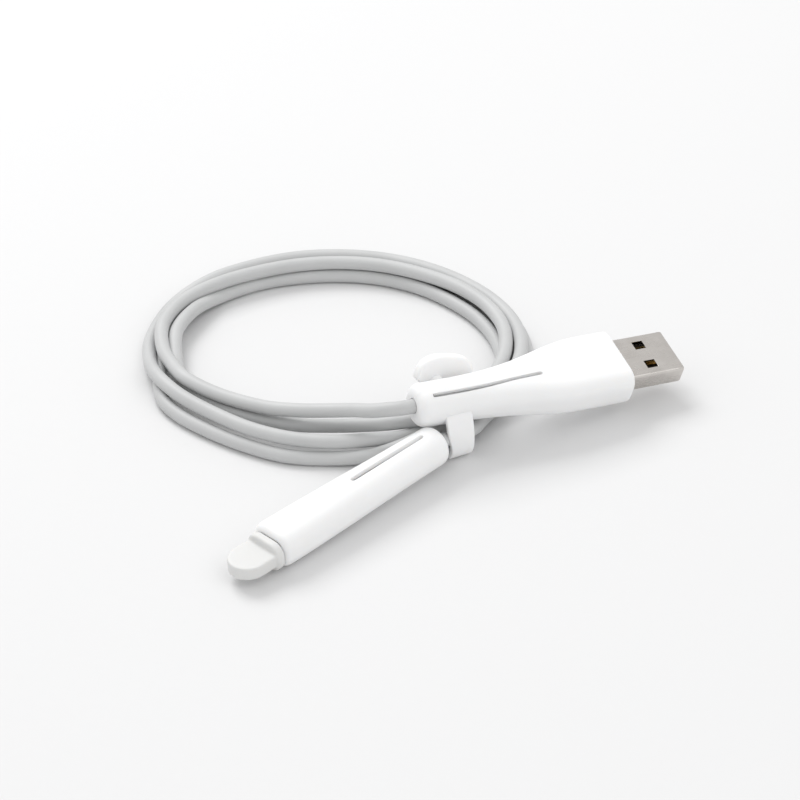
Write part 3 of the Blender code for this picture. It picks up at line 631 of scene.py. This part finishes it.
def tapered_boot(name, place, ends, radii, size_at, node):
    """A boot from its soft nose to its root at the plug, along the middle of its sleeve."""
    (nose, root), (nose_r, root_r) = ends, radii
    stations = [(nose, CABLE_HOLE_R)] + [(nose + back, nose_r - less) for back, less in BOOT_NOSE]
    body = nose + BOOT_NOSE[-1][0]
    for k in range(1, BOOT_STEPS + 1):
        t = k / BOOT_STEPS
        stations.append((body + (root - body) * t, nose_r + (root_r - nose_r) * smooth_ramp(t)))
    sections = []
    for x, r in stations:
        side, sag = size_at(x)[3:]
        ring = rounded_section(r, r, r, BOOT_POINTS, BOOT_TOP)
        sections.append((x, [(y + side, z + sag) for y, z in ring]))
    bm, _ = skin_through(sections)
    boot = place_piece(name, bm, place, housing_plastic, "cable")
    soften(boot, wall=0.5 * MM, edge=0.12 * MM, smooth=1)
    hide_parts(node)
    return boot


plug_boot = tapered_boot(
    "plug_boot_soft", type_a_frame, (2.0, 34.9), (3.3, 3.3), plug_size, "plug_boot"
)
phone_boot = tapered_boot(
    "phone_boot_soft", phone_frame, (3.0, 32.3), (2.9, 2.9), phone_size, "phone_boot"
)
print("boot faces:", len(plug_boot.data.polygons), len(phone_boot.data.polygons))

# %% [markdown]
# ## The strap
# The strap is part of the sleeve's moulding: a flat band that goes down the near side, under the coil and
# up the far side, to a thick tab. The band is one line of edges extruded to its width, and it flares a
# little where it leaves the sleeve.
# It bends across the hinge, so it blends from the cable's body to the strap's body.

# %% Strap band
STRAP_ALONG = 9.2
STRAP_HALF = 2.7
STRAP_FLARE = 0.9
FLARE_FROM, FLARE_TO = 3.0, 8.0
STRAP_THICK = 1.2
strap_foot = type_a_frame @ Vector((STRAP_ALONG * MM, 0.0, 0.0))
strap_frame = Matrix.Translation((strap_foot.x, strap_foot.y, 0.0))
strap_frame = strap_frame @ Matrix.Rotation(radians(PLUG_YAW), 4, "Z")
AXIS_HEIGHT = strap_foot.z * 1000
HINGE_Y = 8.5
BAND_LINE = [
    (-4.0, 12.2), (-4.75, 10.6), (-5.2, 8.8), (-5.5, 7.2), (-5.65, 5.6), (-5.6, 4.2), (-5.3, 2.9),
    (-4.7, 1.8), (-3.8, 1.0), (-2.7, 0.66), (-1.4, 0.6), (0.0, 0.6), (2.5, 0.6), (5.0, 0.6), (6.0, 0.6),
    (6.9, 0.62), (7.7, 0.8), (8.25, 1.3), (8.48, 2.1), (8.5, 3.4), (8.5, 5.0), (8.5, 7.0), (8.5, 9.0),
    (8.5, 11.0), (8.5, 13.0),
]

band_bm = bmesh.new()
line = [band_bm.verts.new(Vector((-STRAP_HALF, y, z)) * MM) for y, z in BAND_LINE]
edges = [band_bm.edges.new(pair) for pair in zip(line, line[1:])]
for _ in range(4):
    made = bmesh.ops.extrude_edge_only(band_bm, edges=edges)["geom"]
    fresh = [g for g in made if isinstance(g, bmesh.types.BMVert)]
    edges = [g for g in made if isinstance(g, bmesh.types.BMEdge) and all(v in fresh for v in g.verts)]
    bmesh.ops.translate(band_bm, vec=(0.5 * STRAP_HALF * MM, 0.0, 0.0), verts=fresh)
for vertex in band_bm.verts:
    if vertex.co.x < 0.0 and vertex.co.y < 0.0:
        flare = smooth_ramp((vertex.co.z / MM - FLARE_FROM) / (FLARE_TO - FLARE_FROM))
        vertex.co.x -= STRAP_FLARE * flare * MM
strap_band = place_piece("strap_ribbon", band_bm, strap_frame, white_silicone, None)
wall = strap_band.modifiers.new("wall", "SOLIDIFY")
wall.thickness = STRAP_THICK * MM
wall.offset = 0.0
soften(strap_band, edge=0.3 * MM, smooth=1)
for modifier in list(strap_band.modifiers):
    with bpy.context.temp_override(object=strap_band, active_object=strap_band):
        bpy.ops.object.modifier_apply(modifier=modifier.name)
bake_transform(strap_band)
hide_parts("strap_band")
print("strap ribbon faces:", len(strap_band.data.polygons))

# %% [markdown]
# The tab is a thick rounded plate on the band's end, tipped a little along the sleeve. A circle, squared
# above and flattened below, is extruded to the tab's thickness and its rim is bevelled round.
# The button is a mushroom on the sleeve's far side.

# %% Strap tab
TAB_SIDE = 2.8
TAB_TILT = 18.0
TAB_SQUARE = 0.72
TAB_HALF = 7.1
TAB_LOW, TAB_TOP = 11.0, 18.6
TAB_THICK = 2.6
TAB_MIDDLE = 0.55  # the widest place, as a share of half the tab's height
TAB_SQUEEZE = 0.1
TAB_RIM = 0.75


def strap_tab_mesh():
    """The tab's outline, extruded to its thickness, rounded and tipped."""
    bm = bmesh.new()
    rim = bmesh.ops.create_circle(bm, cap_ends=True, segments=48, radius=TAB_HALF * MM)["verts"]
    bmesh.ops.rotate(bm, verts=rim, matrix=Matrix.Rotation(pi / 2, 3, "X"))
    rise = (TAB_TOP - TAB_LOW) / 2
    for vertex in rim:
        side, up = vertex.co.x / MM / TAB_HALF, vertex.co.z / MM / TAB_HALF
        if up > 0:
            side, up = abs(side) ** TAB_SQUARE * (1 if side > 0 else -1), up**TAB_SQUARE
        reach = rise * (2 - TAB_MIDDLE if up > 0 else TAB_MIDDLE)
        height = TAB_LOW + rise * TAB_MIDDLE + reach * up
        squeeze = 1.0 if up > 0 else 1.0 - TAB_SQUEEZE * abs(up) ** 3
        vertex.co = Vector((TAB_SIDE + TAB_HALF * side * squeeze, HINGE_Y - TAB_THICK / 2, height)) * MM
    made = bmesh.ops.extrude_face_region(bm, geom=bm.faces[:])["geom"]
    fresh = [g for g in made if isinstance(g, bmesh.types.BMVert)]
    bmesh.ops.translate(bm, vec=(0.0, TAB_THICK * MM, 0.0), verts=fresh)
    round_off(bm, sharp_edges(bm), TAB_RIM, 5)
    middle = Vector((TAB_SIDE, HINGE_Y, (TAB_LOW + TAB_TOP) / 2)) * MM
    bmesh.ops.rotate(bm, verts=bm.verts, cent=middle, matrix=Matrix.Rotation(radians(TAB_TILT), 3, "Y"))
    return bm


strap_tab = place_piece("strap_tab", strap_tab_mesh(), strap_frame, white_silicone, "strap")
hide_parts("strap_flap")
print("strap tab faces:", len(strap_tab.data.polygons))

# %% Strap button
BUTTON_STEM = 1.5
BUTTON_HEAD = [(1.5, 1.3), (2.3, 1.1), (2.45, 0.7), (2.1, 0.2), (1.2, 0.0), (0.0, 0.0)]


def button_mesh():
    """A mushroom button: half its outline, spun round its own axis."""
    bm = bmesh.new()
    start_y, end_y = button_span
    outline = [(BUTTON_STEM, start_y)] + [(r, end_y - back) for r, back in BUTTON_HEAD]
    line = [bm.verts.new(Vector((r, y, 0.0)) * MM) for r, y in outline]
    edges = [bm.edges.new(pair) for pair in zip(line, line[1:])]
    bmesh.ops.spin(
        bm, geom=line + edges, axis=(0.0, 1.0, 0.0), cent=(0.0, 0.0, 0.0),
        steps=32, angle=2 * pi, use_merge=True,
    )
    bmesh.ops.remove_doubles(bm, verts=bm.verts, dist=0.01 * MM)
    bmesh.ops.translate(bm, vec=(0.0, 0.0, AXIS_HEIGHT * MM), verts=bm.verts)
    return bm


to_strap = strap_frame.inverted()
button_corners = [to_strap @ Vector(v.co) for v in frame["nodes"]["strap_button"].data.vertices]
button_span = (min(c.y for c in button_corners) * 1000, max(c.y for c in button_corners) * 1000)
strap_button = place_piece(
    "strap_button_soft", button_mesh(), strap_frame, white_silicone, "cable"
)
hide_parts("strap_button")
print("button from", [round(v, 2) for v in button_span], "mm across the strap")

# %% [markdown]
# ## The cap
# The cap is softer and a little greyer: a rounded plate that lies on the sleeve's mouth, and a tongue with a
# half-round end to pull it by. Both are rounded solids. They are fused by a fine voxel remesh and smoothed,
# which leaves the small hollow between them that a mould leaves.

# %% Cap
CAP_START = 0.08
CAP_PLATE = (4.9, 3.3, 2.0)
CAP_CORNER = 2.9
CAP_TONGUE = (4.3, 1.5, 8.4)
CAP_DROP = 0.5
CAP_RIM = 0.5
CAP_INTO_PLATE = 1.0
CAP_VOXEL = 0.22 * MM


def cap_mesh():
    """The plate and the tongue as two closed shapes in the sleeve mouth's frame."""
    bm = bmesh.new()
    plate = bmesh.ops.create_cube(bm, size=1.0)["verts"]
    bmesh.ops.scale(bm, vec=(CAP_PLATE[2] * MM, 2 * CAP_PLATE[0] * MM, 2 * CAP_PLATE[1] * MM), verts=plate)
    long_edges = [e for e in bm.edges if abs(e.verts[0].co.x - e.verts[1].co.x) > MM]
    round_off(bm, long_edges, CAP_CORNER, 10)
    round_off(bm, sharp_edges(bm), CAP_RIM, 3)
    middle = CAP_START + CAP_PLATE[2] / 2
    bmesh.ops.translate(bm, vec=(middle * MM, 0.0, 0.0), verts=bm.verts)
    before = set(bm.verts)
    half, up, length = CAP_TONGUE
    rim = bmesh.ops.create_circle(bm, cap_ends=True, segments=48, radius=half * MM)["verts"]
    tip_centre = CAP_START + CAP_PLATE[2] + length - half
    for vertex in rim:
        if vertex.co.x < 0:
            vertex.co.x = -(tip_centre - CAP_START - CAP_INTO_PLATE) * MM
    bmesh.ops.translate(bm, vec=(tip_centre * MM, 0.0, -up * MM), verts=rim)
    base = [f for f in bm.faces if not (set(f.verts) & before)]
    made = bmesh.ops.extrude_face_region(bm, geom=base)["geom"]
    fresh = [g for g in made if isinstance(g, bmesh.types.BMVert)]
    bmesh.ops.translate(bm, vec=(0.0, 0.0, 2 * up * MM), verts=fresh)
    bmesh.ops.translate(bm, vec=(0.0, 0.0, -CAP_DROP * MM), verts=bm.verts)
    return bm


mouth_frame = phone_frame @ Matrix.Translation((PHONE_LENGTH * MM, 0.0, 0.0))
cap = place_piece("phone_cap_soft", cap_mesh(), mouth_frame, cap_silicone, "cap")
fuse = cap.modifiers.new("fuse", "REMESH")
fuse.mode = "VOXEL"
fuse.voxel_size = CAP_VOXEL
fuse.use_smooth_shade = True
settle = cap.modifiers.new("settle", "SMOOTH")
settle.factor = 0.5
settle.iterations = 9
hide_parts("phone_cap")
print("cap made over", CAP_PLATE, CAP_TONGUE)

# %% [markdown]
# ## The type-A shell
# The shell is thin sheet folded to a box, with two latch holes on top and two underneath.
# Its section has a vertex at each hole's side, so a hole is a face that is taken out between two sections.

# %% Shell
SHELL_HALF = (6.0, 2.25, 0.6)
SHELL_WALL = 0.3
SHELL_TIP = 65.0
SHELL_ROOT = 44.5
HOLE_HALF = 1.15
HOLE_SIDE = 2.95
HOLE_BACK, HOLE_HALF_LONG = 7.2, 1.35
HOLE_ENDS = (SHELL_TIP - HOLE_BACK - HOLE_HALF_LONG, SHELL_TIP - HOLE_BACK + HOLE_HALF_LONG)
SHELL_LEAD_IN = 0.35
SHELL_STATIONS = (SHELL_ROOT, 50.0, 54.0, *HOLE_ENDS, 61.0, 63.4, SHELL_TIP - SHELL_LEAD_IN)
SHELL_TUCK = (0.985, 0.965)
CORNER_STEPS = 5


def shell_section():
    """The section's points, with one at each side of each hole."""
    w, h, c = SHELL_HALF
    sides = [-HOLE_SIDE - HOLE_HALF, -HOLE_SIDE + HOLE_HALF, HOLE_SIDE - HOLE_HALF, HOLE_SIDE + HOLE_HALF]
    points = [(y, h) for y in sides]
    turns = [k * pi / 2 / CORNER_STEPS for k in range(CORNER_STEPS + 1)]
    corner = [(c * sin(turn), c * cos(turn)) for turn in turns]
    points += [(w - c + a, h - c + b) for a, b in corner]
    points += [(w - c + b, -(h - c) - a) for a, b in corner]
    points += [(-y, -h) for y in sides]
    points += [(-(w - c) - a, -(h - c) - b) for a, b in corner]
    points += [(-(w - c) - b, h - c + a) for a, b in corner]
    return points


def shell_mesh():
    """The folded sheet from its root to its tucked tip, with the four holes taken out."""
    points = shell_section()
    sections = [(x, points) for x in SHELL_STATIONS]
    sections.append((SHELL_TIP, [(y * SHELL_TUCK[0], z * SHELL_TUCK[1]) for y, z in points]))
    bm, rows = skin_through(sections)
    low, high = (rows[SHELL_STATIONS.index(x)] for x in HOLE_ENDS)
    under = 4 + 2 * (CORNER_STEPS + 1)
    gone = set()
    for k in (0, 2, under, under + 2):
        corners = {low[k], low[k + 1], high[k], high[k + 1]}
        gone |= {f for f in low[k].link_faces if set(f.verts) == corners}
    bmesh.ops.delete(bm, geom=list(gone), context="FACES")
    return bm


shell = place_piece("shell_sheet", shell_mesh(), type_a_frame, nickel_steel, "cable")
soften(shell, wall=SHELL_WALL * MM, edge=0.07 * MM, smooth=0)
for polygon in shell.data.polygons:
    polygon.use_smooth = True
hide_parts("plug_shell")
print("shell faces:", len(shell.data.polygons))

# %% [markdown]
# ## The cord's facts
# The cord leaves the type-A boot and ends in the phone plug.

# %% [markdown]
# ## Floor and light
# The cable lies on a plain pale table. A wide soft light stands behind it and to its left, so the shadows
# are faint and fall towards the viewer's right, and a pale surround fills them.

# %% Stage
FLOOR_HALF = 3.0
floor_bm = bmesh.new()
bmesh.ops.create_grid(floor_bm, x_segments=1, y_segments=1, size=FLOOR_HALF)
floor_mesh = bpy.data.meshes.new("floor")
floor_bm.to_mesh(floor_mesh)
floor_bm.free()
floor = bpy.data.objects.new("floor", floor_mesh)
floor_finish, floor_nodes, floor_links, floor_shader = new_finish("floor_paper", (0.745, 0.745, 0.747), 0.8)
paper = noise_on_object(floor_nodes, floor_links, 400.0, 3.0)
floor_links.new(spread(floor_nodes, floor_links, paper, 0.75, 0.85), floor_shader.inputs["Roughness"])
floor_mesh.materials.append(floor_finish)
bpy.context.scene.collection.objects.link(floor)
print("floor half width:", FLOOR_HALF, "m")

# %% Lights
bpy.context.scene.view_settings.view_transform = "Standard"
SKY_STRENGTH = 0.80
world = bpy.data.worlds.new("surround")
world.use_nodes = True
world.node_tree.nodes["Background"].inputs["Color"].default_value = (1.0, 1.0, 1.0, 1.0)
world.node_tree.nodes["Background"].inputs["Strength"].default_value = SKY_STRENGTH
bpy.context.scene.world = world


def soft_light(name, place, size, power):
    """A square area light that looks at the coil."""
    data = bpy.data.lights.new(name, "AREA")
    data.size = size
    data.energy = power
    light = bpy.data.objects.new(name, data)
    light.location = place
    light.rotation_euler = (AIM - Vector(place)).to_track_quat("-Z", "Y").to_euler()
    bpy.context.scene.collection.objects.link(light)


soft_light("key", place=(-0.5, 0.7, 1.0), size=0.7, power=8.5)
soft_light("fill", place=(0.6, -0.5, 0.9), size=0.9, power=2.4)
print("lights set")
